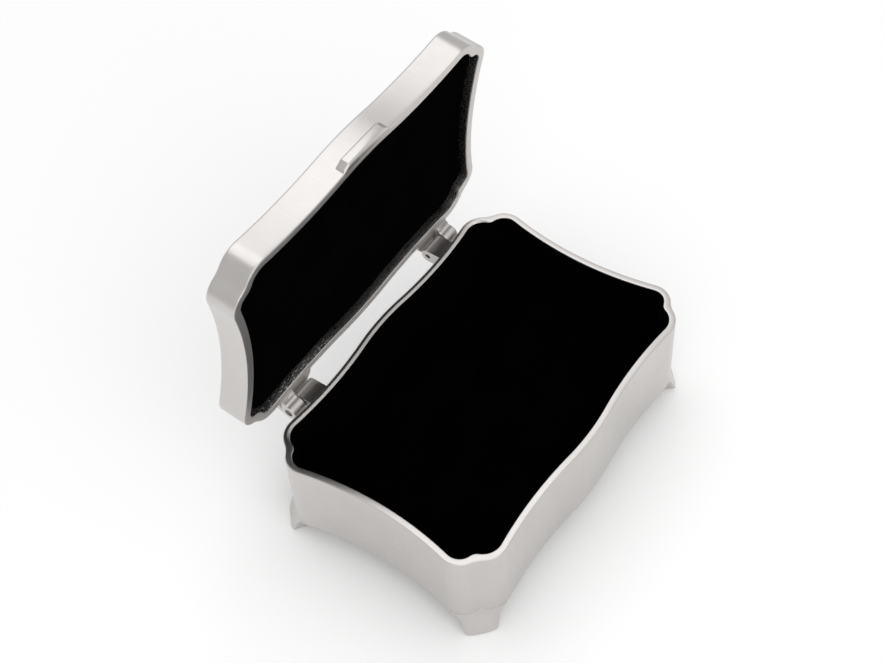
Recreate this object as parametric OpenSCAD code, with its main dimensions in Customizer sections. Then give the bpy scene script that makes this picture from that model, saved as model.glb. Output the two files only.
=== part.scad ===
// Footed jewellery box in satin silver metal: a serpentine tray lined with
// black velvet, and a shallow lid on two barrel hinges that stands open.
// Lengths are in millimetres. The box stands on z = 0, its front faces -Y and
// its hinges are at the back. The origin is under the middle of the tray.

/* [Plan] */
// Overall length of tray and lid, from end to end
body_length = 140; // [130:1:160]
// Overall width, across the bowed middles of the long sides
body_width = 94.6; // [90:0.2:105]
// Radius of the bow in the middle of each long side
bow_r = 103; // [80:1:140]
// Radius of the two hollows beside each bow
side_hollow_r = 171; // [140:1:220]
// Radius of the hollow in each end
end_hollow_r = 135; // [110:1:180]

/* [Corners] */
// Radius of the shoulder at the long side's end of a corner
side_shoulder_r = 9.6; // [8:0.2:11]
// Distance of that shoulder's centre from the end of the box
side_shoulder_in = 15.2; // [14:0.2:17]
// Height that the shoulder falls short of the bow
side_shoulder_drop = 0.7; // [0.2:0.1:1.5]
// Radius of the shoulder at the short side's end of a corner
end_shoulder_r = 8; // [6.5:0.1:9]
// Distance of that shoulder's centre from the long side's bow
end_shoulder_in = 14.8; // [13.6:0.2:16.4]
// Radius of the nick between the two shoulders
nick_r = 10.8; // [8:0.2:14]
// Radius of the nick on the inside of the wall
inner_nick_r = 3.5; // [3:0.5:8]

/* [Tray] */
// Height of the wall, without the feet
wall_h = 35.8; // [28:0.2:50]
// Thickness of the wall
wall_t = 2.5; // [1.8:0.1:3]
// Thickness of the floor plate
floor_t = 1.5; // [1:0.1:3]

/* [Feet] */
// Height of the feet under the wall
foot_h = 10.6; // [8:0.2:14]
// How far a foot flares out beyond the wall at the bottom
foot_flare = 3.2; // [1.5:0.1:4]
// How much further the middle of a foot's front stands out at the bottom
foot_bulge = 0.9; // [0:0.1:1.5]
// Half width of a foot where it meets the wall, along the corner
foot_top_half = 10.8; // [9.4:0.1:12]
// Half width of a foot at the bottom, along the corner
foot_bottom_half = 5.3; // [4:0.1:6.4]
// Radius at which the sides of a foot turn in at the bottom
foot_toe_r = 1.6; // [0.5:0.1:2.5]
// Thickness of a foot at the top, inwards from the wall's face
foot_top_t = 6; // [4:0.1:6.4]
// Thickness of a foot at the bottom
foot_bottom_t = 4.6; // [3.6:0.1:5.4]
// Height of the pointed tongue on the wall above each foot
tongue_h = 3.6; // [1:0.1:5]
// Half width of the tongue
tongue_half = 3.3; // [2:0.1:4.5]
// How far the tongue's tip lies from the middle of the nick, towards the long side
tongue_shift = 0.8; // [0:0.1:1.5]
// How far the tongue stands proud of the wall
tongue_t = 0.25; // [0.15:0.05:0.8]

/* [Lid] */
// Height of the lid
lid_h = 11.7; // [11:0.1:16]
// Width of the lid's rim
lid_rim_t = 3.5; // [2.5:0.1:3.8]
// Thickness of the lid's top
lid_top_t = 1.5; // [1:0.1:2]
// Gap between the two rims when the lid is shut
lid_gap = 0.3; // [0.2:0.05:0.6]
// Angle at which the lid stands open
lid_open = 83.4; // [75:0.1:100]

/* [Hinges] */
// Distance of the pin's axis behind the bow of the back wall
axis_out = 3.3; // [3.1:0.1:4.5]
// Radius of the barrels, whose top is level with the tray's rim
barrel_r = 2.9; // [2.2:0.1:3.1]
// Distance from the left end of the box to the outer end of the left hinge
hinge_left_from_end = 20.1; // [17:0.1:28]
// Distance from the right end of the box to the outer end of the right hinge
hinge_right_from_end = 17.9; // [17:0.1:28]
// Length of the tray's barrel
tray_barrel_l = 9.3; // [6:0.1:12]
// Length of the lid's barrel
lid_barrel_l = 5.9; // [4:0.1:8]
// Gap between the ends of the two barrels
barrel_gap = 0.3; // [0.2:0.05:0.5]
// Radius of the pin
pin_r = 0.95; // [0.6:0.05:1.2]
// Radial clearance between the pin and its bore
pin_clear = 0.05; // [0.02:0.01:0.08]
// Depth of the pin's ends inside the barrels
pin_recess = 1.5; // [0.2:0.1:2.5]
// Radius of the wider mouth of the bore at the outer end of a lid's barrel
mouth_r = 1.6; // [1.4:0.1:1.8]
// Depth of that mouth
mouth_depth = 0.8; // [0.2:0.1:1.2]
// Thickness of the hinge flange on the lid's back wall
flange_t = 3; // [2:0.1:4]
// How far the flange runs past the barrels at the wall
flange_taper = 1.8; // [0.5:0.1:3]
// Radius of the bead beside the lid's barrel
bead_r = 1.7; // [1.2:0.1:1.8]

/* [Thumb tab] */
// Width of the tab where it meets the lid
tab_foot_w = 25; // [20:0.2:34]
// Width of the tab's outer face
tab_face_w = 18.6; // [14:0.2:24]
// How far the tab stands out beyond the bow
tab_out = 1.8; // [1:0.1:4]
// Height of the tab above the lid's rim
tab_h = 3.8; // [2:0.1:6]

/* [Lining] */
// Thickness of the velvet wall lining
lining_t = 1; // [0.6:0.1:1.5]
// How far the wall lining ends below the tray's rim
lining_drop = 0.4; // [0.2:0.1:2]
// Thickness of the cards under the pads
card_t = 1.2; // [0.8:0.1:2]
// Thickness of the floor pad
floor_pad_t = 2.6; // [2:0.1:5]
// Depth of the lid pad's face below the lid's rim
lid_pad_recess = 3.2; // [2:0.1:4]
// Radius at which the edges of both pads turn down
pad_edge_r = 1.2; // [0.6:0.1:1.8]
// Gap round the linings, pads and plates
seat_gap = 0.1; // [0.05:0.05:0.3]

/* [Hidden] */
$fn = 48;

silver = [0.77, 0.76, 0.74];
pin_steel = [0.6, 0.6, 0.6];
velvet = [0.04, 0.04, 0.045];
card = [0.25, 0.23, 0.2];

// Number of points on each arc of a quarter of an outline, whatever its offset
arc_steps = [6, 6, 8, 5, 8, 6];

half_l = body_length / 2;
half_w = body_width / 2;
wall_z = foot_h;
rim_z = foot_h + wall_h;

// Centres of the arcs that make up a quarter of the outline
bow_c = [0, half_w - bow_r];
side_shoulder_c = [half_l - side_shoulder_in, half_w - side_shoulder_drop - side_shoulder_r];
end_shoulder_c = [half_l - end_shoulder_r, half_w - end_shoulder_in];
side_hollow_c = nested(bow_c, bow_r, side_shoulder_c, side_shoulder_r, side_hollow_r);
end_hollow_c = [end_shoulder_c[0] + sqrt(pow(end_shoulder_r + end_hollow_r, 2) - pow(end_shoulder_c[1], 2)), 0];

// Hinge line, and the plane of the lid's rim when the lid is shut
axis_y = half_w + axis_out;
axis_z = rim_z - barrel_r;
lid_z = rim_z + lid_gap;
hinge_l = tray_barrel_l + barrel_gap + lid_barrel_l;
left_start = half_l - hinge_left_from_end - hinge_l;
right_start = half_l - hinge_right_from_end - hinge_l;

lining_in = wall_t + seat_gap;
pad_in = lining_in + lining_t + seat_gap;
floor_top = wall_z + floor_t;
lid_floor = lid_z + lid_h - lid_top_t;
lid_pad_t = lid_h - lid_top_t - card_t - lid_pad_recess;

function heading(v) = atan2(v[1], v[0]);
function along(a) = [cos(a), sin(a)];
function flipped(p, sx, sy) = [for (q = p) [q[0] * sx, q[1] * sy]];
function reversed(p) = [for (i = [len(p) - 1:-1:0]) p[i]];
function tail(p) = [for (i = [1:len(p) - 1]) p[i]];
function middle(p) = [for (i = [1:len(p) - 2]) p[i]];

// Centre of a circle of radius r that rests on two others from outside the box
function nested(c1, r1, c2, r2, r) =
    let(d = c2 - c1, l = norm(d), a = (l * l + pow(r1 + r, 2) - pow(r2 + r, 2)) / (2 * l))
    c1 + d / l * a + [-d[1], d[0]] / l * sqrt(pow(r1 + r, 2) - a * a);

// The arcs of a quarter of the outline, from the middle of the long side to the
// end's middle, moved inwards by t with a nick of radius n. Each one has its
// centre, its radius, less than 0 for a hollow, and its two angles.
function quarter_arcs(t, n) =
    let(
        nick_c = nested(side_shoulder_c, side_shoulder_r - t, end_shoulder_c, end_shoulder_r - t, n),
        a1 = heading(side_hollow_c - bow_c),
        a2 = heading(side_hollow_c - side_shoulder_c),
        a3 = heading(nick_c - side_shoulder_c),
        a4 = heading(nick_c - end_shoulder_c),
        a5 = heading(end_hollow_c - end_shoulder_c)
    ) [
        [bow_c, bow_r - t, 90, a1],
        [side_hollow_c, -side_hollow_r - t, a1, a2],
        [side_shoulder_c, side_shoulder_r - t, a2, a3],
        [nick_c, -n, a3, a4],
        [end_shoulder_c, end_shoulder_r - t, a4, a5],
        [end_hollow_c, -end_hollow_r - t, a5, 0]
    ];

function on_arc(a, s) = a[0] + a[1] * along(a[2] + (a[3] - a[2]) * s);

// The four quarters of a list of points that begins and ends on the axes
function all_round(q) =
    concat(q, tail(reversed(flipped(q, 1, -1))), tail(flipped(q, -1, -1)), middle(reversed(flipped(q, -1, 1))));

// Points along the outline, as many on each arc whatever t and n are
function plan_points(t, n) =
    let(q = quarter_arcs(t, n))
    all_round(concat([on_arc(q[0], 0)], [for (i = [0:5], k = [1:arc_steps[i]]) on_arc(q[i], k / arc_steps[i])]));

// A prism on the wall's outer face, moved outwards by out
module outer_prism(z, h, out = 0)
    translate([0, 0, z]) linear_extrude(h) polygon(plan_points(-out, nick_r - out));

// A prism on the outline of anything inside the wall, t inwards from its outer face
module inner_prism(t, z, h)
    translate([0, 0, z]) linear_extrude(h) polygon(plan_points(t, inner_nick_r + t - wall_t));

// The lid's pieces are drawn shut and swung open about the hinge pins
module swung_open()
    translate([0, axis_y, axis_z]) rotate([-lid_open, 0, 0]) translate([0, -axis_y, -axis_z]) children();

// A pad whose top edge rolls over: height above the seat and inset at each ring
module rolled_pad(t, thickness) {
    roll = min(pad_edge_r, thickness * 0.6);
    steps = 4;
    rings = concat([[0, 0]], [for (i = [0:steps]) let(a = 90 * i / steps)
        [thickness - roll + roll * sin(a), roll * (1 - cos(a))]]);
    outlines = [for (g = rings) plan_points(t + g[1], inner_nick_r + t + g[1] - wall_t)];
    n = len(outlines[0]);
    last = len(rings) - 1;
    polyhedron(
        points = [for (k = [0:last], p = outlines[k]) [p[0], p[1], rings[k][0]]],
        faces = concat(
            [[for (i = [0:n - 1]) i]],
            [for (k = [0:last - 1], i = [0:n - 1]) let(j = (i + 1) % n) [k * n + i, k * n + n + i, k * n + n + j]],
            [for (k = [0:last - 1], i = [0:n - 1]) let(j = (i + 1) % n) [k * n + i, k * n + n + j, k * n + j]],
            [[for (i = [n - 1:-1:0]) last * n + i]]
        )
    );
}

module tray_wall() color(silver) difference() {
    outer_prism(wall_z, wall_h);
    inner_prism(wall_t, wall_z - 1, wall_h + 2);
}

module floor_plate() color(silver) inner_prism(lining_in, wall_z, floor_t);

module wall_lining() color(velvet) difference() {
    inner_prism(lining_in, floor_top, rim_z - lining_drop - floor_top);
    inner_prism(lining_in + lining_t, floor_top - 1, wall_h + 2);
}

module floor_card() color(card) inner_prism(pad_in, floor_top, card_t);

module floor_pad() color(velvet) translate([0, 0, floor_top + card_t]) rolled_pad(pad_in, floor_pad_t);

// Point of the back right corner: s is the way along the wall from the middle
// of the nick, towards the end of the box, and out the way outwards from it
function corner_point(s, out) =
    let(
        nick_c = nested(side_shoulder_c, side_shoulder_r, end_shoulder_c, end_shoulder_r, nick_r),
        a3 = heading(nick_c - side_shoulder_c),
        a4 = heading(nick_c - end_shoulder_c),
        half = nick_r * (a4 - a3) * PI / 360
    )
    s > half ? end_shoulder_c + (end_shoulder_r + out) * along(a4 - (s - half) / end_shoulder_r * 180 / PI)
    : s < -half ? side_shoulder_c + (side_shoulder_r + out) * along(a3 - (s + half) / side_shoulder_r * 180 / PI)
    : nick_c - (nick_r - out) * along((a3 + a4) / 2 + s / nick_r * 180 / PI);

// A bracket foot under the back right corner. It flares outwards and narrows
// downwards, has a hollow curve on each side where it leaves the wall, and laps
// over the wall's lower edge as a low lip with a pointed tongue. Each column of
// points runs up the front, over the lip and down the back.
module corner_foot() {
    levels = [0, 0.02, 0.05, 0.1, 0.15, 0.3, 0.45, 0.6, 0.7, 0.8, 0.87, 0.93, 0.97, 1];
    // Growth of the half width over the height, and the level where the hollow curve begins
    taper = 2.6;
    straight = 0.6;
    // Distance by which the front's bottom edge is rounded back
    toe_in = 0.6;
    lip_h = 0.15;
    lip_gap = 0.04;
    last = len(levels) - 1;
    m = 2 * len(levels) + 3;
    tip_left = (-tongue_shift - tongue_half) / foot_top_half;
    tip_right = (-tongue_shift + tongue_half) / foot_top_half;
    columns = concat(
        [for (i = [0:4]) -1 + (tip_left + 1) * i / 5],
        [for (i = [0:8]) tip_left + (tip_right - tip_left) * i / 8],
        [for (i = [1:5]) tip_right + (1 - tip_right) * i / 5]
    );
    end = (len(columns) - 1) * m;

    function sweep(u) = u < straight ? 0 : 1 - sqrt(1 - pow((u - straight) / (1 - straight), 2));
    function toe(u) = let(d = max(0, 1 - u * foot_h / foot_toe_r)) 1 - sqrt(1 - d * d);
    function half_at(u) = foot_bottom_half + taper * u + (foot_top_half - foot_bottom_half - taper) * sweep(u)
        - foot_toe_r * toe(u);
    function out_at(u) = tongue_t + (foot_flare - tongue_t) * pow(1 - u, 1.4) - toe_in * toe(u);
    function bulge(f, u) = foot_bulge * (1 - u) * (1 - f * f);
    function in_at(u) = foot_flare - foot_bottom_t + (foot_bottom_t - foot_flare - foot_top_t) * u;
    function lip_at(s) = lip_h + (tongue_h - lip_h) * pow(max(0, 1 - abs(s + tongue_shift) / tongue_half), 1.8);
    function at(s, out, z) = let(p = corner_point(s, out)) [p[0], p[1], z];
    function column(f) = let(s = f * foot_top_half) concat(
        [for (u = levels) at(f * half_at(u), out_at(u) + bulge(f, u), u * foot_h)],
        [at(s, tongue_t, foot_h + lip_at(s)), at(s, lip_gap, foot_h + lip_at(s)), at(s, lip_gap, foot_h)],
        [for (k = [last:-1:0]) at(f * half_at(levels[k]), in_at(levels[k]), levels[k] * foot_h)]
    );
    // The side of the foot whose column of points begins at point c
    function side(c) = concat(
        [for (k = [0:last - 1]) [c + k, c + m - 1 - k, c + m - 2 - k]],
        [for (k = [0:last - 1]) [c + k, c + m - 2 - k, k == last - 1 ? c + last + 3 : c + k + 1]],
        [[c + last - 1, c + last + 3, c + last], [c + last, c + last + 3, c + last + 2, c + last + 1]]
    );

    polyhedron(
        points = [for (f = columns) each column(f)],
        faces = concat(
            [for (c = [0:m:end - m], i = [0:m - 1]) [c + i, c + m + i, c + m + (i + 1) % m]],
            [for (c = [0:m:end - m], i = [0:m - 1]) [c + i, c + m + (i + 1) % m, c + (i + 1) % m]],
            [for (f = side(0)) reversed(f)],
            side(end)
        )
    );
}

module foot_back_right() color(silver) corner_foot();
module foot_front_right() color(silver) mirror([0, 1, 0]) corner_foot();
module foot_back_left() mirror([1, 0, 0]) foot_back_right();
module foot_front_left() mirror([1, 0, 0]) foot_front_right();

// A round bar along X
module bar(x, l, r) translate([x, axis_y, axis_z]) rotate([0, 90, 0]) cylinder(r = r, h = l);

module pin_bore(x, l) bar(x - 1, l + 2, pin_r + pin_clear);

// The tray's barrel of a hinge that begins at x, with its flat top level with the rim
module tray_knuckle(x) difference() {
    union() {
        bar(x, tray_barrel_l, barrel_r);
        translate([x, half_w - 6, axis_z - barrel_r])
            cube([tray_barrel_l, axis_y - half_w + 6, 2 * barrel_r]);
    }
    outer_prism(wall_z, wall_h + 1);
    pin_bore(x, tray_barrel_l);
}

// The lid's barrel of a hinge that begins at x, its web, its bead and its flange
module lid_knuckle(x) {
    end = x + hinge_l;
    barrel_x = end - lid_barrel_l;
    flange_y = axis_y + barrel_r * 0.75;
    difference() {
        union() {
            bar(barrel_x, lid_barrel_l, barrel_r);
            translate([barrel_x, axis_y - pin_r, axis_z])
                cube([lid_barrel_l, pin_r + barrel_r, lid_z - axis_z + flange_t]);
            translate([barrel_x, axis_y - barrel_r - bead_r * 0.2, lid_z]) rotate([0, 90, 0])
                cylinder(r = bead_r, h = lid_barrel_l);
            translate([0, 0, lid_z]) linear_extrude(flange_t) polygon([
                [x - flange_taper, half_w - 6], [x - flange_taper, half_w], [x, axis_y],
                [x + flange_taper, flange_y], [end, flange_y], [end + flange_taper, half_w - 6]
            ]);
        }
        outer_prism(lid_z, lid_h);
        outer_prism(lid_z - bead_r * 2, bead_r * 2, lid_gap);
        pin_bore(barrel_x, lid_barrel_l);
        bar(end - mouth_depth, mouth_depth + 1, mouth_r);
    }
}

module hinge_pin(x) bar(x + pin_recess, hinge_l - 2 * pin_recess, pin_r);

module tray_knuckle_left() color(silver) mirror([1, 0, 0]) tray_knuckle(left_start);
module tray_knuckle_right() color(silver) tray_knuckle(right_start);
module hinge_pin_left() color(pin_steel) mirror([1, 0, 0]) hinge_pin(left_start);
module hinge_pin_right() color(pin_steel) hinge_pin(right_start);
module lid_knuckle_left() color(silver) swung_open() mirror([1, 0, 0]) lid_knuckle(left_start);
module lid_knuckle_right() color(silver) swung_open() lid_knuckle(right_start);

module lid_shell() color(silver) swung_open() difference() {
    outer_prism(lid_z, lid_h);
    inner_prism(lid_rim_t, lid_z - 1, lid_h - lid_top_t + 1);
}

module lid_card() color(card) swung_open() inner_prism(lid_rim_t + seat_gap, lid_floor - card_t, card_t);

module lid_pad() color(velvet) swung_open()
    translate([0, 0, lid_floor - card_t]) mirror([0, 0, 1]) rolled_pad(lid_rim_t + seat_gap, lid_pad_t);

module thumb_tab() color(silver) swung_open() difference() {
    translate([0, 0, lid_z]) linear_extrude(tab_h) polygon([
        [-tab_foot_w / 2, 4 - half_w], [-tab_foot_w / 2, 0.9 - half_w], [-tab_face_w / 2, -half_w - tab_out],
        [tab_face_w / 2, -half_w - tab_out], [tab_foot_w / 2, 0.9 - half_w], [tab_foot_w / 2, 4 - half_w]
    ]);
    outer_prism(lid_z - 1, tab_h + 2);
}

tray_wall();
floor_plate();
wall_lining();
floor_card();
floor_pad();
foot_front_left();
foot_front_right();
foot_back_left();
foot_back_right();
tray_knuckle_left();
tray_knuckle_right();
hinge_pin_left();
hinge_pin_right();
lid_shell();
lid_card();
lid_pad();
thumb_tab();
lid_knuckle_left();
lid_knuckle_right();
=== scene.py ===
"""Looks of the footed jewellery box: satin silver metal, black velvet, white studio."""
import math

import bmesh
import bpy
import numpy as np
from mathutils import Matrix, Vector, noise


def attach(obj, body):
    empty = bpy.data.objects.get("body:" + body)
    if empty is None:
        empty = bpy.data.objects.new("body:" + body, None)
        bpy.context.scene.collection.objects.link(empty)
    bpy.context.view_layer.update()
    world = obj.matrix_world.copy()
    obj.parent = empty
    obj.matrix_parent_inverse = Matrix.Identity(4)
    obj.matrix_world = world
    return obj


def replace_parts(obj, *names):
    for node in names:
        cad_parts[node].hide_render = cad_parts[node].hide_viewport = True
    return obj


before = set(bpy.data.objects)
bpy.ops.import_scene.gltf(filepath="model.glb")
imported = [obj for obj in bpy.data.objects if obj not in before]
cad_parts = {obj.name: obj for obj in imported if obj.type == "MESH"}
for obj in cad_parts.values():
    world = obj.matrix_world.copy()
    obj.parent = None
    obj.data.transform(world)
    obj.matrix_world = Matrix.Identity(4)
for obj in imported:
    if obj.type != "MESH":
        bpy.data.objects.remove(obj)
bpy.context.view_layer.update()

MM = 0.001

# Sizes from here to the thumb tab are in millimetres, and those that the part's source has are as there

# Plan: half its width, the radii of its bow and hollows, its shoulders' centres and radii, and its nicks
HALF_W = 47.3
BOW_R, SIDE_HOLLOW_R, END_HOLLOW_R = 103.0, 171.0, 135.0
SIDE_SHOULDER, SIDE_SHOULDER_R = np.array([54.8, 37.0]), 9.6
END_SHOULDER, END_SHOULDER_R = np.array([62.0, 32.5]), 8.0
NICK_R, INNER_NICK_R = 10.8, 3.5

# Tray: thickness of its wall, the wall's lower and upper end, and the top of the floor plate
WALL_T, FOOT_H, RIM_Z, FLOOR_TOP = 2.5, 10.6, 46.4, 12.1

# Feet: flare, half widths at top and bottom, round toe, bulge of the face, thickness at top and bottom
FOOT_FLARE, FOOT_TOP_HALF, FOOT_BOTTOM_HALF, FOOT_TOE_R, FOOT_BULGE = 3.2, 10.8, 5.3, 1.6, 0.9
FOOT_TOP_T, FOOT_BOTTOM_T = 6.0, 4.6
# A foot's pointed tongue: height, half width, how far its tip is from the middle of the nick, thickness
TONGUE_H, TONGUE_HALF, TONGUE_SHIFT, TONGUE_T = 3.6, 3.3, 0.8, 0.25

# Lid, drawn shut: level of its rim, height, thickness of its top and of its rim, and its ceiling
LID_Z, LID_H, LID_TOP_T, LID_RIM_T = 46.7, 11.7, 1.5, 3.5
LID_CEILING = LID_Z + LID_H - LID_TOP_T

# Hinge line, and the angle in degrees by which the lid stands open
AXIS_Y, AXIS_Z, LID_OPEN = 50.6, 43.5, 83.4
# Radii of the barrels, the pin, its bore and the bead beside the lid's barrel
BARREL_R, PIN_R, BORE_R, BEAD_R = 2.9, 0.95, 1.0, 1.7
# Lengths of the lid's barrel, of the gap beside it, of the tray's barrel, and of the whole hinge
LID_BARREL_L, BARREL_GAP, TRAY_BARREL_L = 5.9, 0.3, 9.3
HINGE_L = LID_BARREL_L + BARREL_GAP + TRAY_BARREL_L
# Where each hinge starts, from the middle of the box outwards
HINGE_START = {"left": 34.4, "right": 36.6}
# Wider mouth of the lid's barrel, and how far the pin's ends lie inside the hinge
MOUTH_R, MOUTH_DEPTH, PIN_RECESS = 1.6, 0.8, 1.5
# Flange on the lid's back wall: height, and how far it runs past the barrels at the wall
FLANGE_T, FLANGE_TAPER = 3.0, 1.8

# Lining: how far it starts inside the wall's outer face, thickness, drop below the rim
LINING_IN, LINING_T, LINING_DROP = 2.6, 1.0, 0.4

# Pads: thickness of the cards behind them, the gap round them, and the height of their crown
CARD_T, SEAT_GAP, PAD_CROWN = 1.2, 0.1, 0.5
# Thickness of the floor's pad, and how deep the face of the lid's pad lies below the rim
FLOOR_PAD_T, LID_PAD_RECESS = 2.6, 3.2
LID_PAD_T = LID_H - LID_TOP_T - CARD_T - LID_PAD_RECESS

# Thumb tab: widths at the wall and of its face, how far it stands out, height
TAB_FOOT_W, TAB_FACE_W, TAB_OUT, TAB_H = 25.0, 18.6, 1.8, 3.8

# Which way X runs on each side
SIDE = {"left": -1, "right": 1}

# Camera: angles in degrees, focal length in pixels of the photo, distance in millimetres, and where the
# middle of the tray's rim shows, in pixels right of and below the middle of the photo
AZIMUTH, ELEVATION, ROLL = -51.398, 52.985, -4.534
FOCAL_PX, DISTANCE = 1687.2, 609.6
AIM_X_PX, AIM_Y_PX = 41.04, 44.358
PHOTO_W = 884
SENSOR = 36.0

# Studio, in metres: brightness of the world, and the square softboxes that face the box, each with the
# direction where it stands, its size and its level
SKY = 0.70
LAMP_DISTANCE = 1.1
LAMP_AIM = (0, 0, 0.04)
SOFTBOXES = {"key": ((0.2, 0.36, 0.91), 0.85, 0.95), "fill": ((0.15, -0.45, 0.88), 1.4, 0.25),
             "front": ((-0.5, -0.6, 0.62), 1.3, 0.8)}
FLOOR_HALF = 3.0

# Dried glue in the lid, in metres: along each axis where its specks end, and where they reach full number
GLUE_LIMITS = (("Z", 0.0494, 0.0502), ("Z", 0.0575, 0.0545), ("X", -0.012, -0.03), ("Y", 0.0563, 0.0547))

# Steps along each arc of a quarter of an outline
ARC_STEPS = (14, 12, 14, 9, 13, 14)


def heading(v):
    """Angle of a direction from the X axis."""
    return math.atan2(v[1], v[0])


def direction(angle):
    """Direction at an angle from the X axis."""
    return np.array([math.cos(angle), math.sin(angle)])


def nested(c1, r1, c2, r2, r):
    """Centre of a circle of radius r that rests on two others from outside the box."""
    across = c2 - c1
    gap = np.linalg.norm(across)
    along = (gap * gap + (r1 + r) ** 2 - (r2 + r) ** 2) / (2 * gap)
    left = np.array([-across[1], across[0]])
    return c1 + across / gap * along + left / gap * math.sqrt((r1 + r) ** 2 - along * along)


BOW = np.array([0.0, HALF_W - BOW_R])
SIDE_HOLLOW = nested(BOW, BOW_R, SIDE_SHOULDER, SIDE_SHOULDER_R, SIDE_HOLLOW_R)
END_HOLLOW = np.array([
    END_SHOULDER[0] + math.sqrt((END_SHOULDER_R + END_HOLLOW_R) ** 2 - END_SHOULDER[1] ** 2), 0.0])


def quarter_arcs(t, n):
    """The back right quarter of the outline moved inwards by t, with a nick of radius n.

    Each arc has a centre, a radius and two angles. A hollow one has a negative radius, because its
    angles point from the box to its centre."""
    nick = nested(SIDE_SHOULDER, SIDE_SHOULDER_R - t, END_SHOULDER, END_SHOULDER_R - t, n)
    a1 = heading(SIDE_HOLLOW - BOW)
    a2 = heading(SIDE_HOLLOW - SIDE_SHOULDER)
    a3 = heading(nick - SIDE_SHOULDER)
    a4 = heading(nick - END_SHOULDER)
    a5 = heading(END_HOLLOW - END_SHOULDER)
    return [(BOW, BOW_R - t, math.pi / 2, a1), (SIDE_HOLLOW, -SIDE_HOLLOW_R - t, a1, a2),
            (SIDE_SHOULDER, SIDE_SHOULDER_R - t, a2, a3), (nick, -n, a3, a4),
            (END_SHOULDER, END_SHOULDER_R - t, a4, a5), (END_HOLLOW, -END_HOLLOW_R - t, a5, 0.0)]


def outline(t, n):
    """Points all round, as many on each arc whatever t and n are."""
    quarter = []
    for (centre, radius, first, last), steps in zip(quarter_arcs(t, n), ARC_STEPS):
        for k in range(1 if quarter else 0, steps + 1):
            quarter.append(centre + radius * direction(first + (last - first) * k / steps))
    quarter = np.array(quarter)
    return np.concatenate([quarter, (quarter * [1, -1])[::-1][1:], (quarter * [-1, -1])[1:],
                           (quarter * [-1, 1])[::-1][1:-1]])


def ring(t, z, n):
    """The outline moved inwards by t, with nicks of radius n, at the height z."""
    plan = outline(t, n)
    return np.column_stack([plan, np.full(len(plan), z)])


def inner_nick(t):
    """The nick's radius on an outline that lies t inside the wall's outer face, past its inner face."""
    return INNER_NICK_R + t - WALL_T


def nick_at(t, wall):
    """The nick's radius from a wall's outer face, at t 0, to its inner face."""
    return NICK_R + (inner_nick(wall) - NICK_R) * t / wall


def swung(points):
    """Points of the lid as drawn shut, in their open place."""
    a = math.radians(-LID_OPEN)
    y, z = points[..., 1] - AXIS_Y, points[..., 2] - AXIS_Z
    out = points.copy()
    out[..., 1] = AXIS_Y + y * math.cos(a) - z * math.sin(a)
    out[..., 2] = AXIS_Z + y * math.sin(a) + z * math.cos(a)
    return out


def make(name, points, faces, body, sharp=38.0, swing=False):
    """An object from points in millimetres, which rides on a body, with its faces turned outwards.

    Edges above the angle sharp stay crisp. swing opens a piece that is drawn with the lid shut."""
    if swing:
        points = swung(points)
    mesh = bpy.data.meshes.new(name)
    mesh.from_pydata([tuple(p * MM) for p in points], [], faces)
    bm = bmesh.new()
    bm.from_mesh(mesh)
    bmesh.ops.remove_doubles(bm, verts=bm.verts, dist=1e-7)
    bmesh.ops.dissolve_degenerate(bm, edges=bm.edges, dist=1e-7)
    bmesh.ops.recalc_face_normals(bm, faces=bm.faces)
    bm.to_mesh(mesh)
    bm.free()
    mesh.shade_smooth()
    mesh.set_sharp_from_angle(angle=math.radians(sharp))
    obj = bpy.data.objects.new(name, mesh)
    bpy.context.scene.collection.objects.link(obj)
    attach(obj, body)
    return obj


def dress(obj, material):
    """Gives a piece its material."""
    obj.data.materials.clear()
    obj.data.materials.append(material)
    return obj


def dress_node(name, material):
    """Gives a CAD node its material."""
    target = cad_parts[name]
    if not target.material_slots:
        target.data.materials.append(material)
    for holder in target.material_slots:
        holder.material = material


def loop_faces(rows, cols, closed=False):
    """Faces from each closed loop of points to the next, and from the last to the first if closed."""
    faces = []
    for i in range(rows if closed else rows - 1):
        here, above = i * cols, (i + 1) % rows * cols
        for j in range(cols):
            k = (j + 1) % cols
            faces.append([here + j, here + k, above + k, above + j])
    return faces


def swept(loops, closed=False):
    """The points of a stack of loops, and the faces between them."""
    return np.concatenate(loops), loop_faces(len(loops), len(loops[0]), closed)


def capped(loops):
    """The points of a stack of loops, and the faces between them and over both ends."""
    points, faces = swept(loops)
    n = len(loops[0])
    return points, faces + [list(range(n)), list(range(len(points) - 1, len(points) - n - 1, -1))]


def fan(start, n, middle):
    """Triangles from a loop of n points to one point in its middle."""
    return [[start + j, start + (j + 1) % n, middle] for j in range(n)]


def rungs(rows, cols, count):
    """Faces over the first and last loop, from points on the way out to those on the way back."""
    faces = []
    for start in (0, (rows - 1) * cols):
        end = start + cols - 1
        faces += [[start + k, start + k + 1, end - 1 - k, end - k] for k in range(count)]
    return faces


def rounded(t0, z0, t1, z1, steps, start):
    """A quarter ellipse from (t0, z0) to (t1, z1) in a wall's section, setting off along t or z."""
    out = []
    for k in range(steps + 1):
        a = math.pi / 2 * k / steps
        if start == "z":
            out.append((t0 + (t1 - t0) * (1 - math.cos(a)), z0 + (z1 - z0) * math.sin(a)))
        else:
            out.append((t0 + (t1 - t0) * math.sin(a), z0 + (z1 - z0) * (1 - math.cos(a))))
    return out


def edge_steps(length, depth):
    """Steps round a soft edge: how far on from its end, and how far in there."""
    return [(length * (1 - math.cos(a)), depth * (1 - math.sin(a))) for a in np.radians([0, 30, 60, 90])]


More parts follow.
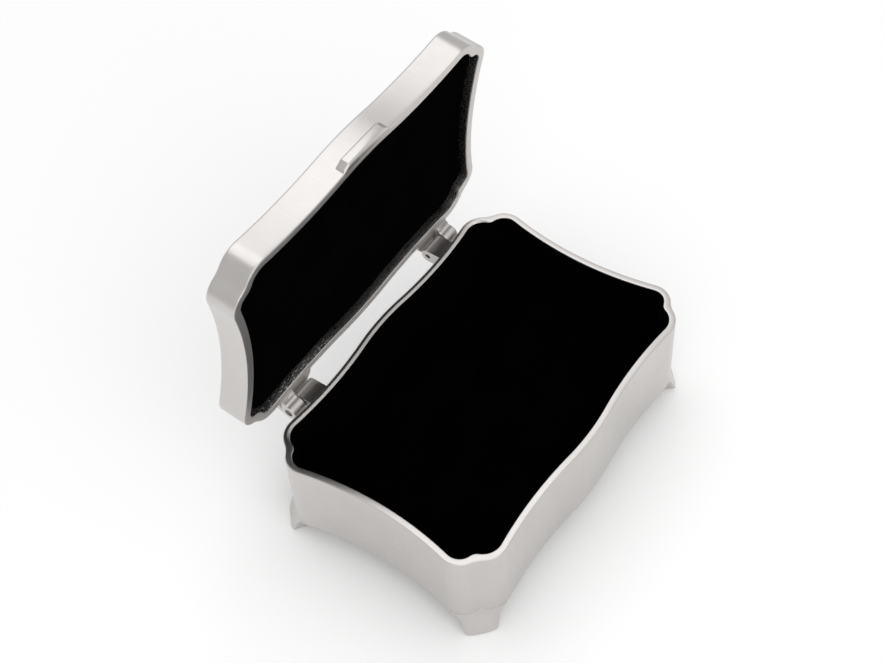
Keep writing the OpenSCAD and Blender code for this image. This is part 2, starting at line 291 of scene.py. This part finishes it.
def tray_wall():
    """The wall: a flat rim, worn down towards the inside along the back, and a soft lower edge."""
    low_edge = 0.1
    # The rim is plain up to this y, and fully worn this much further back
    worn_from, worn_blend = 38.0, 5.0
    # Where rows start and end on the plain faces, to keep the shading even
    low_row, high_row, inner_row = FOOT_H + 2, RIM_Z - 3, RIM_Z - 4

    def section(outer, flat, fall, inner):
        """Rings up the outside, over the rim and down the inside.

        The rim's edges have the radii outer and inner. It falls by fall from t flat to its inner edge."""
        path = [(WALL_T, FOOT_H)] + rounded(low_edge, FOOT_H, 0.0, FOOT_H + low_edge, 4, "t")
        path += [(0.0, z) for z in np.linspace(low_row, high_row, 9)]
        path += rounded(0.0, RIM_Z - outer, outer, RIM_Z, 6, "z")
        path += [(flat + (WALL_T - inner - flat) * v, RIM_Z - fall * v) for v in (0, 0.1, 0.5, 0.9)]
        path += rounded(WALL_T - inner, RIM_Z - fall, WALL_T, RIM_Z - fall - inner, 5, "t")
        path += [(WALL_T, inner_row), (WALL_T, (RIM_Z + FOOT_H) / 2)]
        return np.array([ring(t, z, nick_at(t, WALL_T)) for t, z in path])

    plain = section(outer=0.45, flat=2.1, fall=0.02, inner=0.25)
    worn = section(outer=0.5, flat=1.4, fall=0.26, inner=0.2)
    back = np.clip((plain[0, :, 1] - worn_from) / worn_blend, 0, 1)[None, :, None]
    return make("tray_wall_silver", *swept(plain * (1 - back) + worn * back, closed=True), "base")


def lid_shell(outer_metal, shaded_inner_metal, rim_metal):
    """The lid, drawn shut: top with a rounded edge, wall, rim with soft edges, inner wall and ceiling."""
    top, edge, rim = LID_Z + LID_H, 0.9, 0.35
    # Rows on the plain stretches keep the shading even: how far they stay from an edge, and the inner ones
    on_top, on_wall = 0.8, 1.5
    low_row, high_row = LID_Z + 2.5, LID_Z + 6
    outside = [(edge + on_top, top)] + rounded(edge, top, 0.0, top - edge, 7, "t")
    outside += [(0.0, z) for z in np.linspace(top - edge - on_wall, LID_Z + rim + on_wall, 5)]
    outside += rounded(0.0, LID_Z + rim, rim, LID_Z, 4, "z")
    inner_edge = rounded(LID_RIM_T - rim, LID_Z, LID_RIM_T, LID_Z + rim, 4, "t")
    inside = [(LID_RIM_T, z) for z in (low_row, high_row, LID_CEILING)]
    rings = [ring(t, z, nick_at(t, LID_RIM_T)) for t, z in outside + inner_edge + inside]
    # The top and the ceiling close towards their middle
    shares = (0.28, 0.55, 0.8)
    over, under = rings[0], rings[-1]
    rings = [over * [s, s, 1] for s in shares] + rings + [under * [s, s, 1] for s in reversed(shares)]
    points, faces = swept(rings)
    n = len(over)
    faces += fan(0, n, len(points)) + fan(len(points) - n, n, len(points) + 1)
    points = np.concatenate([points, [[0, 0, top], [0, 0, LID_CEILING]]])
    shell = dress(make("lid_shell_silver", points, faces, "lid", swing=True), outer_metal)
    shell.data.materials.append(shaded_inner_metal)
    shell.data.materials.append(rim_metal)
    # The rim's metal starts in the last two rows of its outer edge and ends where the inner wall starts
    rim_row = len(shares) + len(outside) - 3
    wall_row = len(shares) + len(outside) + len(inner_edge) - 1
    # The inner wall takes the second metal, a darker copy of the same metal with painted shade of the recess
    for face in shell.data.polygons[wall_row * n:(wall_row + len(inside)) * n]:
        face.material_index = 1
    for face in shell.data.polygons[rim_row * n:wall_row * n]:
        face.material_index = 2
    return shell


def corner_point(s, out):
    """Back right corner: s along the wall from the middle of the nick, out away from the wall."""
    nick, _, first, last = quarter_arcs(0.0, NICK_R)[3]
    half = NICK_R * (last - first) / 2
    if s > half:
        return END_SHOULDER + (END_SHOULDER_R + out) * direction(last - (s - half) / END_SHOULDER_R)
    if s < -half:
        return SIDE_SHOULDER + (SIDE_SHOULDER_R + out) * direction(first - (s + half) / SIDE_SHOULDER_R)
    return nick - (NICK_R - out) * direction((first + last) / 2 + s / NICK_R)


def foot_mesh():
    """A cast bracket foot at the back right corner, as upright loops side by side.

    Each loop runs up the front of the foot, over the lip of its tongue and down the back. In the
    functions u is a share of the foot's height, f of its half width, and s a distance along the wall."""
    # Shares of the height that have points, closer at the toe and where the foot meets the wall
    levels = [0, 0.006, 0.02, 0.045, 0.08, 0.12, 0.16] + list(np.linspace(0.22, 0.6, 8))
    levels += [0.66, 0.72, 0.78, 0.83, 0.87, 0.9, 0.93, 0.955, 0.975, 0.99, 1.0]
    # Each side widens evenly by taper over the height, and above the share straight it sweeps out as well
    taper, straight = 2.6, 0.6
    # How far the toe draws in, the radius of the upright edges, and the powers of the flare's and the
    # tongue's curves
    toe_in, edge, flare_power, tongue_power = 1.0, 0.45, 1.4, 1.8
    # The lip: height beside the tongue, its edge's thickness, its bevel's height, the step from the foot up
    # to it, and its depth in the wall
    lip_h, lip_edge, bevel, step, sunk = 0.7, 0.06, 0.7, 0.01, 0.03

    def sweep(u):
        return 0.0 if u < straight else 1 - math.sqrt(max(0, 1 - ((u - straight) / (1 - straight)) ** 2))

    def toe(u):
        d = max(0.0, 1 - u * FOOT_H / FOOT_TOE_R)
        return 1 - math.sqrt(1 - d * d)

    def half_at(u):
        return (FOOT_BOTTOM_HALF + taper * u + (FOOT_TOP_HALF - FOOT_BOTTOM_HALF - taper) * sweep(u)
                - FOOT_TOE_R * toe(u))

    def out_at(u):
        return TONGUE_T + (FOOT_FLARE - TONGUE_T) * (1 - u) ** flare_power - toe_in * toe(u)

    def bulge(f, u):
        return FOOT_BULGE * (1 - u) * (1 - f * f)

    def in_at(u):
        return FOOT_FLARE - FOOT_BOTTOM_T + (FOOT_BOTTOM_T - FOOT_FLARE - FOOT_TOP_T) * u

    def lip_at(s):
        return lip_h + (TONGUE_H - lip_h) * max(0.0, 1 - abs(s + TONGUE_SHIFT) / TONGUE_HALF) ** tongue_power

    def along(f, side, half):
        return f * (half - edge) + f * edge * side

    def at(s, out, z):
        return (*corner_point(s, out), z)

    # Each column has its f, and how far it is round the upright edge, sideways and backwards
    turns = [math.pi / 2 * k / 5 for k in range(6)]
    columns = [(-1.0, math.cos(a), 1 - math.sin(a)) for a in turns]
    columns += [(f, 0.0, 0.0) for f in np.linspace(-0.96, 0.96, 59)]
    columns += [(1.0, math.cos(a), 1 - math.sin(a)) for a in reversed(turns)]
    loops = []
    for f, side, back in columns:
        loop = [at(along(f, side, half_at(u)), out_at(u) + bulge(f, u) - edge * back, u * FOOT_H)
                for u in levels]
        s = along(f, side, FOOT_TOP_HALF)
        for v in (0.0, 0.3, 0.6, 1.0):
            lip_z = FOOT_H + step + lip_at(s) - bevel * (1 - v)
            loop.append(at(s, TONGUE_T + (lip_edge - TONGUE_T) * v, lip_z))
        loop += [at(s, -sunk, FOOT_H + lip_at(s)), at(s, -sunk, FOOT_H)]
        loop += [at(along(f, side, half_at(u)), in_at(u), u * FOOT_H) for u in reversed(levels)]
        loops.append(loop)
    points, faces = swept(loops)
    # Each side of the foot is closed from its front edge to its back edge, and over the tongue
    m, last = len(loops[0]), len(levels) - 1
    faces += rungs(len(loops), m, last)
    faces += [list(range(start + last, start + m - last)) for start in (0, len(points) - m)]
    return points, faces


def feet(metal):
    """The four feet: one casting, mirrored into each corner."""
    points, faces = foot_mesh()
    for y_word, sy in (("back", 1), ("front", -1)):
        for x_word, sx in (("right", 1), ("left", -1)):
            name = "foot_" + y_word + "_" + x_word
            foot = make(name + "_casting", points * [sx, sy, 1], faces, "base", sharp=50)
            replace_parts(dress(foot, metal), name)


def wall_y(x):
    """The wall's outer face at the back, at a distance x from the middle."""
    x = abs(x)
    arcs = quarter_arcs(0.0, NICK_R)
    bow_end = BOW_R * math.cos(arcs[0][3])
    hollow_end = SIDE_SHOULDER[0] + SIDE_SHOULDER_R * math.cos(arcs[2][2])
    if x < bow_end:
        return BOW[1] + math.sqrt(BOW_R ** 2 - x * x)
    if x < hollow_end:
        return SIDE_HOLLOW[1] - math.sqrt(SIDE_HOLLOW_R ** 2 - (x - SIDE_HOLLOW[0]) ** 2)
    return SIDE_SHOULDER[1] + math.sqrt(SIDE_SHOULDER_R ** 2 - (x - SIDE_SHOULDER[0]) ** 2)


def hoop(x, r, angles):
    """Points round the hinge line at the place x and a radius r, one for each angle."""
    y, z = AXIS_Y + r * np.cos(angles), AXIS_Z + r * np.sin(angles)
    return np.column_stack([np.full(len(angles), x), y, z])


def tray_knuckle(word):
    """A D-shaped block with a round nose, its flat top merging into the rim, and a bore."""
    # How far it reaches into the wall, its edges' radius, how far its top is below the rim, the bore's
    # bevel, and how far the rows along it stay from its ends
    sunk, edge, low, bevel, row_gap = 1.3, 0.15, 0.02, 0.12, 1.2
    x0 = HINGE_START[word]
    x1 = x0 + TRAY_BARREL_L

    def section(x, inset):
        """Up round the nose, along the top into the wall, down inside it and back along the underside."""
        r = BARREL_R - inset
        wall = wall_y(x) - sunk - AXIS_Y
        nose = [(r * math.cos(a), r * math.sin(a)) for a in np.radians(np.linspace(-90, 90, 33))]
        top = [(wall * v, r - low) for v in np.linspace(0.02, 1, 9)]
        inside = [(wall, r * (1 - v)) for v in np.linspace(0, 2, 9)[1:-1]]
        return np.array(nose + top + inside + [(y, -r) for y, _ in reversed(top)])

    ends = edge_steps(edge, edge)
    stations = [(x0 + on, inset) for on, inset in ends]
    stations += [(x, 0.0) for x in np.linspace(x0 + row_gap, x1 - row_gap, 6)]
    stations += [(x1 - on, inset) for on, inset in reversed(ends)]
    loops = []
    for x, inset in stations:
        p = section(x, inset)
        loops.append(np.column_stack([np.full(len(p), x), p[:, 0] + AXIS_Y, p[:, 1] + AXIS_Z]))
    p = section(x0, 0.0)
    angles = np.arctan2(p[:, 1], p[:, 0])
    for x, r in ((x1, BORE_R + bevel), (x1 - bevel, BORE_R), (x0 + bevel, BORE_R), (x0, BORE_R + bevel)):
        loops.append(hoop(x, r, angles))
    points, faces = swept(loops, closed=True)
    return make("tray_knuckle_" + word + "_block", points * [SIDE[word], 1, 1], faces, "base", sharp=42)


def closed_mesh(points, faces):
    """A closed mesh in millimetres, for joining and cutting."""
    mesh = bpy.data.meshes.new("closed")
    mesh.from_pydata([tuple(p) for p in points], [], faces)
    bm = bmesh.new()
    bm.from_mesh(mesh)
    bmesh.ops.recalc_face_normals(bm, faces=bm.faces)
    bm.to_mesh(mesh)
    bm.free()
    return mesh


def prism(loop, axis, low, high):
    """A loop of two coordinates swept along x or z, for joining and cutting."""
    return closed_mesh(*capped([[(h, a, b) if axis == "x" else (a, b, h) for a, b in loop]
                                for h in (low, high)]))


def circle(cy, cz, r, steps=64):
    """Points of a circle in a plane square to the hinge line, as y and z."""
    return [(cy + r * math.cos(2 * math.pi * k / steps), cz + r * math.sin(2 * math.pi * k / steps))
            for k in range(steps)]


def lathe(stations, steps):
    """Points and faces of a closed shape turned on the hinge line: stations of x and radius."""
    angles = 2 * np.pi * np.arange(steps) / steps
    return capped([hoop(x, r, angles) for x, r in stations])


def joined(name, meshes):
    """One object from several closed meshes."""
    bm = bmesh.new()
    for mesh in meshes:
        bm.from_mesh(mesh)
        bpy.data.meshes.remove(mesh)
    mesh = bpy.data.meshes.new(name)
    bm.to_mesh(mesh)
    bm.free()
    obj = bpy.data.objects.new(name, mesh)
    bpy.context.scene.collection.objects.link(obj)
    return obj


def knuckle_parts(start, x0, x1):
    """The overlapping solids of a lid knuckle whose barrel runs from x0 to x1, drawn shut.

    Smoothing shrinks the barrel and the bead, so both start larger and longer than they end."""
    barrel_spare, bead_spare, end_spare, valley_spare = 0.25, 0.1, 0.25, 0.1
    # How far the flange reaches into the lid's wall, and how far it stays above the rim
    flange_in, flange_gap = 1.2, 0.05
    flange_y, flange_top = AXIS_Y + BARREL_R * 0.75, LID_Z + FLANGE_T
    barrel = np.array([AXIS_Y, AXIS_Z])
    bead = np.array([AXIS_Y - BARREL_R - BEAD_R * 0.2, LID_Z])
    # Metal that partly fills the valley between the barrel and the bead: the way it faces, and how far it
    # reaches out from the middles of both
    facing, from_bead, from_barrel = np.array([-0.714, -0.7]), 1.2, 2.45
    valley = [barrel, bead, bead + facing * from_bead, barrel + facing * from_barrel]
    web = [(AXIS_Y - 0.95, AXIS_Z), (AXIS_Y + BARREL_R, AXIS_Z), (AXIS_Y + BARREL_R - 0.3, flange_top - 0.6),
           (AXIS_Y + 0.6, flange_top), (AXIS_Y - 2.0, flange_top)]
    flange = [(start - FLANGE_TAPER, wall_y(start) - flange_in), (start - FLANGE_TAPER, HALF_W),
              (start, AXIS_Y), (start + FLANGE_TAPER, flange_y), (x1, flange_y),
              (x1 + FLANGE_TAPER, wall_y(x1 + FLANGE_TAPER) - flange_in)]
    return [
        prism(valley, "x", x0, x1 + valley_spare),
        prism(circle(AXIS_Y, AXIS_Z, BARREL_R + barrel_spare), "x", x0, x1 + end_spare),
        prism(circle(bead[0], LID_Z + bead_spare, BEAD_R + bead_spare), "x", x0, x1 + end_spare),
        prism(web, "x", x0, x1),
        prism(flange, "z", LID_Z + flange_gap, flange_top),
    ]


def knuckle_cutter(x0, x1):
    """The barrel's bore and mouth, and the room that the shut tray's wall needs."""
    # The casting stays clear of the wall by this much. The cutter runs past it lengthways and inwards
    clear, margin, depth = 0.2, 2, 6
    bore = [(x0 - 1, BORE_R), (x1 - MOUTH_DEPTH, BORE_R), (x1 - MOUTH_DEPTH, MOUTH_R), (x1 + 1, MOUTH_R)]
    wall = [(x, wall_y(x) + clear) for x in np.linspace(x0 - margin, x1 + margin, 9)]
    wall += [(x1 + margin, wall_y(x1) - depth), (x0 - margin, wall_y(x0) - depth)]
    return joined("cutter", [closed_mesh(*lathe(bore, 48)), prism(wall, "z", RIM_Z - depth, LID_Z)])


def lid_knuckle(word):
    """Barrel, web, bead and flange as one casting with soft joins."""
    start = HINGE_START[word]
    x1 = start + HINGE_L
    x0 = x1 - LID_BARREL_L
    name = "lid_knuckle_" + word + "_casting"
    obj = joined(name, knuckle_parts(start, x0, x1))
    remesh = obj.modifiers.new("join", "REMESH")
    remesh.mode = "VOXEL"
    remesh.voxel_size = 0.16
    soften = obj.modifiers.new("soften", "SMOOTH")
    soften.factor = 0.5
    soften.iterations = 30
    cutter = knuckle_cutter(x0, x1)
    cut = obj.modifiers.new("cut", "BOOLEAN")
    cut.object = cutter
    cut.operation = "DIFFERENCE"
    cut.solver = "EXACT"
    thin = obj.modifiers.new("thin", "DECIMATE")
    thin.ratio = 0.3
    bpy.context.view_layer.update()
    done = bpy.data.meshes.new_from_object(obj.evaluated_get(bpy.context.evaluated_depsgraph_get()))
    obj.modifiers.clear()
    bpy.data.objects.remove(cutter)
    points = np.zeros(len(done.vertices) * 3)
    done.vertices.foreach_get("co", points)
    points = swung(points.reshape(-1, 3) * [SIDE[word], 1, 1]) * MM
    done.vertices.foreach_set("co", points.ravel())
    if SIDE[word] < 0:
        done.flip_normals()
    done.shade_smooth()
    done.set_sharp_from_angle(angle=math.radians(45))
    obj.data = done
    done.name = name
    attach(obj, "lid")
    return obj


def hinge_pin(word):
    """A steel pin with domed ends."""
    x0 = HINGE_START[word] + PIN_RECESS
    x1 = HINGE_START[word] + HINGE_L - PIN_RECESS
    dome = edge_steps(length=0.25, depth=0.375)
    stations = [(x0 + on, PIN_R - inset) for on, inset in dome]
    stations += [(x1 - on, PIN_R - inset) for on, inset in reversed(dome)]
    points, faces = lathe(stations, 32)
    return make("hinge_pin_" + word + "_steel", points * [SIDE[word], 1, 1], faces, "base")


def thumb_tab():
    """The lift at the lower edge of the lid's front: a straight face whose ends sweep into the wall."""
    # Radius of the upright edges and how far they lean out, depth in the wall, and radius of the long edges
    nose, lean, sunk, edge = 0.9, 0.2, 0.8, 0.7
    face_y = -HALF_W - TAB_OUT
    half_face, half_foot = TAB_FACE_W / 2, TAB_FOOT_W / 2
    end_y = -wall_y(half_foot)
    # Left half of the plan: three points from inside the wall along the sweep, then round to the face
    plan = [(-half_foot, end_y + 0.6), (-half_foot + 0.3, end_y - 0.15), (-half_foot + 1.0, face_y + 1.45)]
    plan += [(-half_face - nose + nose * math.sin(a) - lean * math.cos(a), face_y + nose * (1 - math.sin(a)))
             for a in np.linspace(0, math.pi / 2, 9)]
    plan = np.array(plan + [(-x, y) for x, y in reversed(plan)])
    back = np.array([[x, sunk - wall_y(x)] for x in plan[:, 0]])
    # The long edges are drawn in towards the wall, by half the way at most
    toward = back - plan
    length = np.linalg.norm(toward, axis=1)[:, None]
    ends = edge_steps(edge, edge)
    levels = [(LID_Z + on, inset) for on, inset in ends]
    levels += [(LID_Z + TAB_H - on, inset) for on, inset in reversed(ends)]
    loops = []
    for z, inset in levels:
        front = plan + toward / np.maximum(length, 1e-6) * np.minimum(inset, length * 0.5)
        loop = np.concatenate([front, back[::-1]])
        loops.append(np.column_stack([loop, np.full(len(loop), z)]))
    points, faces = swept(loops)
    faces += rungs(len(loops), len(loops[0]), len(plan) - 1)
    return make("thumb_tab_silver", points, faces, "lid", sharp=32, swing=True)


def wall_lining():
    """Velvet-covered strip on the inside of the wall, with a rounded top edge."""
    # How far the top edge curves down at the velvet's face and at its back
    face_edge, back_edge = 0.5, 0.35
    back, face = LINING_IN, LINING_IN + LINING_T
    top, middle, row_gap = RIM_Z - LINING_DROP, (back + face) / 2, 3
    path = [(face, FLOOR_TOP), (back, FLOOR_TOP), (back, (FLOOR_TOP + top) / 2), (back, top - back_edge)]
    path += rounded(back, top - back_edge, middle, top, 4, "z")[1:]
    path += rounded(middle, top, face, top - face_edge, 4, "t")[1:]
    path += [(face, z) for z in np.linspace(top - row_gap, FLOOR_TOP + row_gap, 8)]
    rings = [ring(t, z, inner_nick(t)) for t, z in path]
    return make("wall_lining_velvet", *swept(rings, closed=True), "base", sharp=60)


def pad(name, body, t, z0, thickness, seed):
    """A velvet pad with a flat back at z0, a rolled edge at t inside the box, and a soft uneven crown.

    The floor's pad faces up, and the lid's, drawn shut, faces down. seed picks its unevenness."""
    in_lid = body == "lid"
    # Radius of the rolled edge, and the small bevel round the back
    roll, bevel_t, bevel_z = 1.2, 0.2, 0.35
    # The crown has its height from this share of the way to the middle
    crown_share = 0.35
    # Width and height of the broad and the small unevenness, and the share of the thickness where it starts
    broad, broad_h, small, small_h, uneven_from = 26, 0.22, 9, 0.06, 0.4
    path = [(t + bevel_t, 0.0), (t, bevel_z), (t, thickness - roll)]
    path += [(t + roll * (1 - math.cos(a)), thickness - roll + roll * math.sin(a))
             for a in np.radians([18, 36, 54, 72, 90])]
    rings = [ring(s, h, inner_nick(s)) for s, h in path]
    top = rings[-1]
    for share in np.linspace(1, 0, 26)[1:-1]:
        rise = PAD_CROWN * math.sin(min(1.0, (1 - share) / crown_share) * math.pi / 2)
        rings.append(top * [share, share, 0] + [0, 0, thickness + rise])
    points, faces = swept(rings)
    n = len(top)
    faces += fan(len(points) - n, n, len(points)) + fan(0, n, len(points) + 1)
    points = np.concatenate([points, [[0, 0, thickness + PAD_CROWN], [0, 0, 0]]])
    uneven = np.array([noise.noise(Vector((x / broad + seed, y / broad, 0))) * broad_h
                       + noise.noise(Vector((x / small, y / small + seed, 3))) * small_h
                       for x, y, _ in points])
    upper = (points[:, 2] - thickness * uneven_from) / (thickness * (1 - uneven_from))
    points[:, 2] += uneven * np.clip(upper, 0, 1)
    points[:, 2] = z0 + (-points[:, 2] if in_lid else points[:, 2])
    return make(name, points, faces, body, sharp=70, swing=in_lid)


def shader(name, colour, metallic=0.0, roughness=0.5):
    """A new material, its node tree and its shader."""
    material = bpy.data.materials.new(name)
    material.use_nodes = True
    tree = material.node_tree
    bsdf = tree.nodes["Principled BSDF"]
    bsdf.inputs["Base Color"].default_value = (*colour, 1)
    bsdf.inputs["Metallic"].default_value = metallic
    bsdf.inputs["Roughness"].default_value = roughness
    return material, tree, bsdf


def grain(tree, scale, detail=2.0, roughness=0.5, stretch=(1, 1, 1)):
    """Noise in the object's own space."""
    coords = tree.nodes.new("ShaderNodeTexCoord")
    mapping = tree.nodes.new("ShaderNodeMapping")
    mapping.inputs["Scale"].default_value = stretch
    made = tree.nodes.new("ShaderNodeTexNoise")
    made.inputs["Scale"].default_value = scale
    made.inputs["Detail"].default_value = detail
    made.inputs["Roughness"].default_value = roughness
    tree.links.new(coords.outputs["Object"], mapping.inputs["Vector"])
    tree.links.new(mapping.outputs["Vector"], made.inputs["Vector"])
    return made.outputs["Fac"]


def remapped(tree, source, low, high, start=0.0, end=1.0, kind="LINEAR"):
    """start where source is at low, end where it is at high, and between them what kind says."""
    made = tree.nodes.new("ShaderNodeMapRange")
    made.interpolation_type = kind
    made.inputs["From Min"].default_value = low
    made.inputs["From Max"].default_value = high
    made.inputs["To Min"].default_value = start
    made.inputs["To Max"].default_value = end
    tree.links.new(source, made.inputs["Value"])
    return made.outputs["Result"]


def colour_from(tree, bsdf, source, low, high, first, last):
    """The shader's colour: first where source is at low, last where it is at high."""
    made = tree.nodes.new("ShaderNodeValToRGB")
    start, end = made.color_ramp.elements
    start.position, end.position = low, high
    start.color, end.color = (*first, 1), (*last, 1)
    tree.links.new(source, made.inputs["Fac"])
    tree.links.new(made.outputs["Color"], bsdf.inputs["Base Color"])


def roughness_from(tree, bsdf, source, low, high):
    """The shader's roughness, from low to high over the usual span of noise."""
    tree.links.new(remapped(tree, source, 0.3, 0.7, low, high), bsdf.inputs["Roughness"])


def bump(tree, bsdf, source, strength, distance):
    """Relief of a height in metres."""
    made = tree.nodes.new("ShaderNodeBump")
    made.inputs["Strength"].default_value = strength
    made.inputs["Distance"].default_value = distance
    tree.links.new(source, made.inputs["Height"])
    tree.links.new(made.outputs["Normal"], bsdf.inputs["Normal"])


def satin_silver(name, brushed, tone=(0.6, 0.579, 0.564), rough=(0.27, 0.34)):
    """Satin plated metal: soft patches of tone, and fine brush marks along the axis brushed."""
    along, across = 90, 1300
    material, tree, bsdf = shader(name, tone, metallic=1.0)
    patches = grain(tree, 45, 3.0)
    strokes = grain(tree, 1.0, 3.0, 0.6, [along if axis == brushed else across for axis in "xyz"])
    darker = tuple(c * 0.96 for c in tone)
    colour_from(tree, bsdf, patches, 0.35, 0.65, darker, tone)
    roughness_from(tree, bsdf, strokes, *rough)
    bump(tree, bsdf, strokes, 0.06, 0.00003)
    return material


def glue_specks(material):
    """Pale specks of dried glue on the lid's inner wall, from its left corner to past the left hinge."""
    pale = (0.7, 0.68, 0.64, 1)
    tree = material.node_tree
    bsdf = tree.nodes["Principled BSDF"]
    coords = tree.nodes.new("ShaderNodeTexCoord")
    place = tree.nodes.new("ShaderNodeSeparateXYZ")
    tree.links.new(coords.outputs["Object"], place.inputs["Vector"])
    crumbs = grain(tree, 1500, 4.0, 0.75, (0.5, 1, 1))
    share = remapped(tree, crumbs, 0.55, 0.64, kind="SMOOTHSTEP")
    for axis, end, full in GLUE_LIMITS:
        both = tree.nodes.new("ShaderNodeMath")
        both.operation = "MULTIPLY"
        tree.links.new(share, both.inputs[0])
        tree.links.new(remapped(tree, place.outputs[axis], end, full, kind="SMOOTHSTEP"), both.inputs[1])
        share = both.outputs["Value"]
    tint = tree.nodes.new("ShaderNodeMix")
    tint.data_type = "RGBA"
    tree.links.new(share, tint.inputs["Factor"])
    tree.links.new(bsdf.inputs["Base Color"].links[0].from_socket, tint.inputs["A"])
    tint.inputs["B"].default_value = pale
    tree.links.new(tint.outputs["Result"], bsdf.inputs["Base Color"])
    tree.links.new(remapped(tree, share, 0.0, 1.0, 1.0, 0.0), bsdf.inputs["Metallic"])


def black_velvet():
    """Short black pile: fine fibres, brushed patches and a faint sheen."""
    material, tree, bsdf = shader("black_velvet", (0.0035, 0.0035, 0.004), roughness=1.0)
    bsdf.inputs["Specular IOR Level"].default_value = 0.0
    bsdf.inputs["Sheen Weight"].default_value = 0.005
    bsdf.inputs["Sheen Roughness"].default_value = 0.45
    bsdf.inputs["Sheen Tint"].default_value = (0.6, 0.6, 0.65, 1)
    colour_from(tree, bsdf, grain(tree, 60, 3.0), 0.35, 0.7, (0.0004, 0.0004, 0.0004), (0.001, 0.001, 0.0011))
    bump(tree, bsdf, grain(tree, 2600, 2.0, 0.7), 0.5, 0.0003)
    return material


def board():
    """Grey-brown card under the pads, with pressed fibres."""
    material, tree, bsdf = shader("card", (0.25, 0.23, 0.2), roughness=0.9)
    fibre = grain(tree, 900, 4.0, 0.7)
    colour_from(tree, bsdf, fibre, 0.3, 0.7, (0.19, 0.17, 0.145), (0.3, 0.28, 0.245))
    bump(tree, bsdf, fibre, 0.3, 0.0001)
    return material


def pin_steel():
    """Drawn steel with a fine uneven grain."""
    material, tree, bsdf = shader("pin_steel", (0.55, 0.55, 0.55), metallic=1.0)
    turned = grain(tree, 1200, 2.0)
    colour_from(tree, bsdf, turned, 0.3, 0.7, (0.48, 0.48, 0.48), (0.6, 0.6, 0.6))
    roughness_from(tree, bsdf, turned, 0.25, 0.45)
    bump(tree, bsdf, turned, 0.1, 0.00005)
    return material


def camera():
    """The photo's camera. Its distance is that of the middle of the tray's rim."""
    az, el, roll = (math.radians(v) for v in (AZIMUTH, ELEVATION, ROLL))
    back = np.array([math.sin(az) * math.cos(el), -math.cos(az) * math.cos(el), math.sin(el)])
    right = np.array([math.cos(az), math.sin(az), 0.0])
    up = np.cross(back, right)
    turn = np.array([[math.cos(roll), math.sin(roll), 0], [-math.sin(roll), math.cos(roll), 0], [0, 0, 1]])
    rows = turn @ np.array([right, up, back])
    aim = np.array([AIM_X_PX / FOCAL_PX, -AIM_Y_PX / FOCAL_PX, -1.0])
    place = -rows.T @ aim * DISTANCE + np.array([0, 0, RIM_Z])
    data = bpy.data.cameras.new("photo_camera")
    data.sensor_width = SENSOR
    data.lens = SENSOR * FOCAL_PX / PHOTO_W
    data.clip_start, data.clip_end = 0.05, 20
    cam = bpy.data.objects.new("photo_camera", data)
    bpy.context.scene.collection.objects.link(cam)
    cam.matrix_world = Matrix([[*rows[:, i], place[i] * MM] for i in range(3)] + [[0, 0, 0, 1]])
    bpy.context.scene.camera = cam


def softbox(name, place, size, level):
    """A square lamp that faces the box, as bright as level, where 1 is white."""
    data = bpy.data.lights.new(name, "AREA")
    data.size = size
    data.energy = level * math.pi * size ** 2
    lamp = bpy.data.objects.new(name, data)
    lamp.location = place
    lamp.rotation_euler = (Vector(LAMP_AIM) - place).to_track_quat("-Z", "Y").to_euler()
    bpy.context.scene.collection.objects.link(lamp)


def studio():
    """A white floor, an even pale world and three softboxes."""
    world = bpy.data.worlds.new("studio")
    bpy.context.scene.world = world
    world.use_nodes = True
    background = world.node_tree.nodes["Background"]
    background.inputs["Color"].default_value = (1, 1, 1, 1)
    background.inputs["Strength"].default_value = SKY
    for name, (toward, size, level) in SOFTBOXES.items():
        softbox(name, Vector(toward).normalized() * LAMP_DISTANCE, size, level)

    mesh = bpy.data.meshes.new("floor")
    corners = [(x * FLOOR_HALF, y * FLOOR_HALF, 0) for x, y in ((-1, -1), (1, -1), (1, 1), (-1, 1))]
    mesh.from_pydata(corners, [], [(0, 1, 2, 3)])
    floor = bpy.data.objects.new("floor", mesh)
    bpy.context.scene.collection.objects.link(floor)
    material, _, bsdf = shader("floor", (0.98, 0.98, 0.98), roughness=0.9)
    bsdf.inputs["Specular IOR Level"].default_value = 0.0
    mesh.materials.append(material)


silver = satin_silver("satin_silver", "z")
lid_silver = satin_silver("satin_silver_lid", "y")
# The lid's inner wall: a darker copy of the metal, whose lower tone is painted shade of the recess beside the
# velvet
shaded_inner_silver = satin_silver("satin_silver_inner_painted_shade", "x", (0.53, 0.51, 0.495), (0.23, 0.3))
glue_specks(shaded_inner_silver)
rim_silver = satin_silver("satin_silver_rim", "x", rough=(0.39, 0.47))
hinge_silver = satin_silver("satin_silver_hinge", "x", rough=(0.4, 0.48))
velvet = black_velvet()
card = board()
steel = pin_steel()

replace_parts(dress(tray_wall(), silver), "tray_wall")
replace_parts(lid_shell(lid_silver, shaded_inner_silver, rim_silver), "lid_shell")
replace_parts(dress(thumb_tab(), lid_silver), "thumb_tab")
feet(silver)
for word in SIDE:
    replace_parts(dress(tray_knuckle(word), silver), "tray_knuckle_" + word)
    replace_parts(dress(lid_knuckle(word), hinge_silver), "lid_knuckle_" + word)
    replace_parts(dress(hinge_pin(word), steel), "hinge_pin_" + word)

lining = dress(wall_lining(), velvet)
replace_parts(lining, "wall_lining")
floor_pad = pad("floor_pad_velvet", "base", LINING_IN + LINING_T + SEAT_GAP, FLOOR_TOP + CARD_T,
                FLOOR_PAD_T, 4.0)
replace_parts(dress(floor_pad, velvet), "floor_pad")
lid_pad = pad("lid_pad_velvet", "lid", LID_RIM_T + SEAT_GAP, LID_CEILING - CARD_T, LID_PAD_T, 9.0)
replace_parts(dress(lid_pad, velvet), "lid_pad")

dress_node("floor_plate", silver)
dress_node("floor_card", card)
dress_node("lid_card", card)

camera()
studio()
bpy.context.scene.view_settings.view_transform = "Standard"
bpy.context.view_layer.update()
